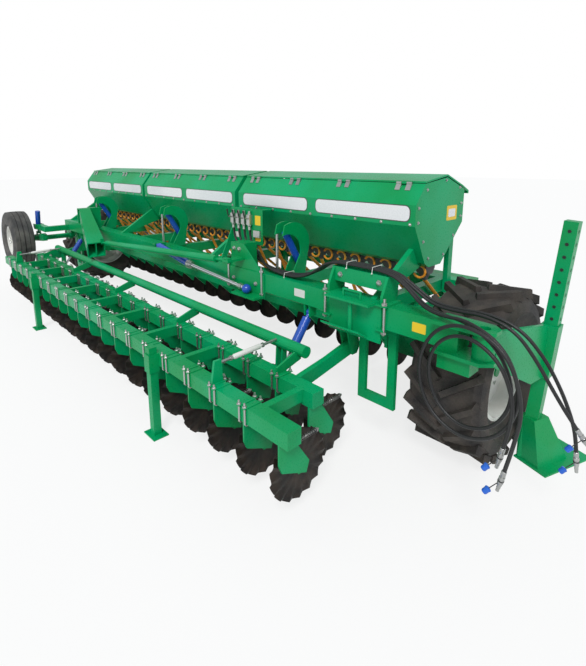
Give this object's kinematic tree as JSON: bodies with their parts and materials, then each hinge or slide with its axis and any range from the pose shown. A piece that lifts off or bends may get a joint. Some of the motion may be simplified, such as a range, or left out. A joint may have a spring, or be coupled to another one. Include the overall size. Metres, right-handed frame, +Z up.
{
  "type": "seed drill",
  "caption": "Wide towed no-till seed drill: long twin-sloped hoppers on a square beam, wavy-disc coulter gang in front, field wheels at the ends and a cranked end-tow axle.",
  "frame": {"origin": "on the ground under the middle of the machine's outer box", "axes": "+X along the working width towards the hitch knuckle, -Y towards the coulter gang and the direction of field travel, +Z up"},
  "size_m": [8.2161, 3.114, 1.921],
  "materials": {
    "green_paint": "gloss green paint",
    "blue_paint": "gloss blue paint",
    "white_paint": "satin white paint",
    "bare_steel": "bright zinc plate",
    "worn_steel": "dark worn disc steel",
    "grey_plastic": "matt moulded plastic",
    "orange_plastic": "translucent orange tube",
    "field_rubber": "dusty rubber",
    "road_rubber": "dusty rubber",
    "press_rubber": "dusty rubber",
    "hose_rubber": "satin black hose"
  },
  "bodies": {
    "frame": {"beam_brackets": "green_paint", "beam_ears": "green_paint", "fold_ram": "blue_paint", "frame_hangers": "green_paint", "front_brackets": "green_paint", "goosenecks": "green_paint", "hopper_ends": "green_paint", "hopper_left": "green_paint", "hopper_middle": "green_paint", "hopper_right": "green_paint", "hopper_stands": "green_paint", "hose_drop_front": "hose_rubber", "hose_drop_rear": "hose_rubber", "hose_loop_front": "hose_rubber", "hose_loop_rear": "hose_rubber", "lid_hinges": "bare_steel", "lift_links": "bare_steel", "main_beam": "green_paint", "neck_rams": "blue_paint", "opener_arms": "green_paint", "opener_bars": "green_paint", "opener_discs": "worn_steel", "press_wheels": "press_rubber", "rear_frame": "green_paint", "seed_meters": "grey_plastic", "seed_tubes": "orange_plastic", "socket_arm": "green_paint", "stay_tube": "green_paint", "tower_arm": "green_paint", "valve_blocks": "bare_steel", "walkway": "green_paint"},
    "field_wheel_left": {"field_tyre_left": "field_rubber", "field_rim_left": "white_paint"},
    "field_wheel_right": {"field_tyre_right": "field_rubber", "field_rim_right": "white_paint"},
    "transport_axle": {"transport_axle": "green_paint"},
    "transport_wheel_front": {"transport_tyre_front": "road_rubber", "transport_rim_front": "white_paint"},
    "transport_wheel_rear": {"transport_tyre_rear": "road_rubber", "transport_rim_rear": "white_paint"},
    "tow_ram_barrel": {"tow_ram_barrel": "blue_paint"},
    "tow_ram_rod": {"tow_ram_rod": "bare_steel"},
    "lid_left": {"lid_left": "green_paint"},
    "lid_middle": {"lid_middle": "green_paint"},
    "lid_right": {"lid_right": "green_paint"},
    "coulter_gang": {"gang_tubes": "green_paint", "gang_cross_members": "green_paint", "coulter_legs": "green_paint", "coulter_discs": "worn_steel", "coulter_springs": "worn_steel", "gang_arms": "green_paint", "rockshaft": "green_paint", "gang_brackets": "green_paint", "turnbuckles": "white_paint"},
    "lift_ram_barrels": {"lift_ram_barrels": "blue_paint"},
    "lift_ram_rods": {"lift_ram_rods": "bare_steel"},
    "parking_leg_left": {"parking_leg_left": "green_paint"},
    "parking_leg_right": {"parking_leg_right": "green_paint"},
    "tower_leg": {"tower_leg": "green_paint"}
  },
  "joints": [
    {"name": "field_wheel_left_spin", "type": "hinge", "parent": "frame", "child": "field_wheel_left", "pos_m": [-3.385, 0.11, 0.6], "axis": [1, 0, 0], "continuous": true},
    {"name": "field_wheel_right_spin", "type": "hinge", "parent": "frame", "child": "field_wheel_right", "pos_m": [3.385, 0.11, 0.6], "axis": [1, 0, 0], "continuous": true},
    {"name": "tow_axle_swing", "type": "hinge", "parent": "frame", "child": "transport_axle", "pos_m": [-3.05, 0, 0.86], "axis": [0, -1, 0], "range_deg": [0, 38]},
    {"name": "tow_wheel_front_spin", "type": "hinge", "parent": "transport_axle", "child": "transport_wheel_front", "pos_m": [-3.58, -1.15, 0.79], "axis": [0, 1, 0], "continuous": true},
    {"name": "tow_wheel_rear_spin", "type": "hinge", "parent": "transport_axle", "child": "transport_wheel_rear", "pos_m": [-3.58, 1.25, 0.79], "axis": [0, 1, 0], "continuous": true},
    {"name": "tow_ram_swing", "type": "hinge", "parent": "frame", "child": "tow_ram_barrel", "pos_m": [-3.34, -0.9, 1.01], "axis": [0, -1, 0], "range_deg": [-1, 16]},
    {"name": "tow_ram_stroke", "type": "slide", "parent": "tow_ram_barrel", "child": "tow_ram_rod", "axis": [-0.206, 0, -0.9785], "range_m": [-0.005, 0.21]},
    {"name": "lid_left_hinge", "type": "hinge", "parent": "frame", "child": "lid_left", "pos_m": [-2.02, -0.098, 1.864], "axis": [1, 0, 0], "range_deg": [0, 95]},
    {"name": "lid_middle_hinge", "type": "hinge", "parent": "frame", "child": "lid_middle", "pos_m": [0, -0.098, 1.864], "axis": [1, 0, 0], "range_deg": [0, 95]},
    {"name": "lid_right_hinge", "type": "hinge", "parent": "frame", "child": "lid_right", "pos_m": [2.02, -0.098, 1.864], "axis": [1, 0, 0], "range_deg": [0, 95]},
    {"name": "gang_lift", "type": "hinge", "parent": "frame", "child": "coulter_gang", "pos_m": [0, -0.45, 0.7], "axis": [-1, 0, 0], "range_deg": [-12, 5]},
    {"name": "lift_ram_swing", "type": "hinge", "parent": "frame", "child": "lift_ram_barrels", "pos_m": [0, -0.56, 0.905], "axis": [-1, 0, 0], "range_deg": [-11, 6]},
    {"name": "lift_ram_stroke", "type": "slide", "parent": "lift_ram_barrels", "child": "lift_ram_rods", "axis": [0, -0.5952, -0.8036], "range_m": [-0.03, 0.05]},
    {"name": "parking_leg_left_slide", "type": "slide", "parent": "coulter_gang", "child": "parking_leg_left", "axis": [0, 0, 1], "range_m": [0, 0.35]},
    {"name": "parking_leg_right_slide", "type": "slide", "parent": "coulter_gang", "child": "parking_leg_right", "axis": [0, 0, 1], "range_m": [0, 0.35]},
    {"name": "tower_leg_slide", "type": "slide", "parent": "frame", "child": "tower_leg", "axis": [0.068, 0, 0.9977], "range_m": [0, 0.25]}
  ],
  "couplings": [
    {"joint": "tow_ram_swing", "follows": "tow_axle_swing", "ratio": 0.36},
    {"joint": "tow_ram_stroke", "follows": "tow_axle_swing", "m_per_rad": 0.306},
    {"joint": "lift_ram_swing", "follows": "gang_lift", "ratio": 0.78},
    {"joint": "lift_ram_stroke", "follows": "gang_lift", "m_per_rad": -0.21}
  ]
}
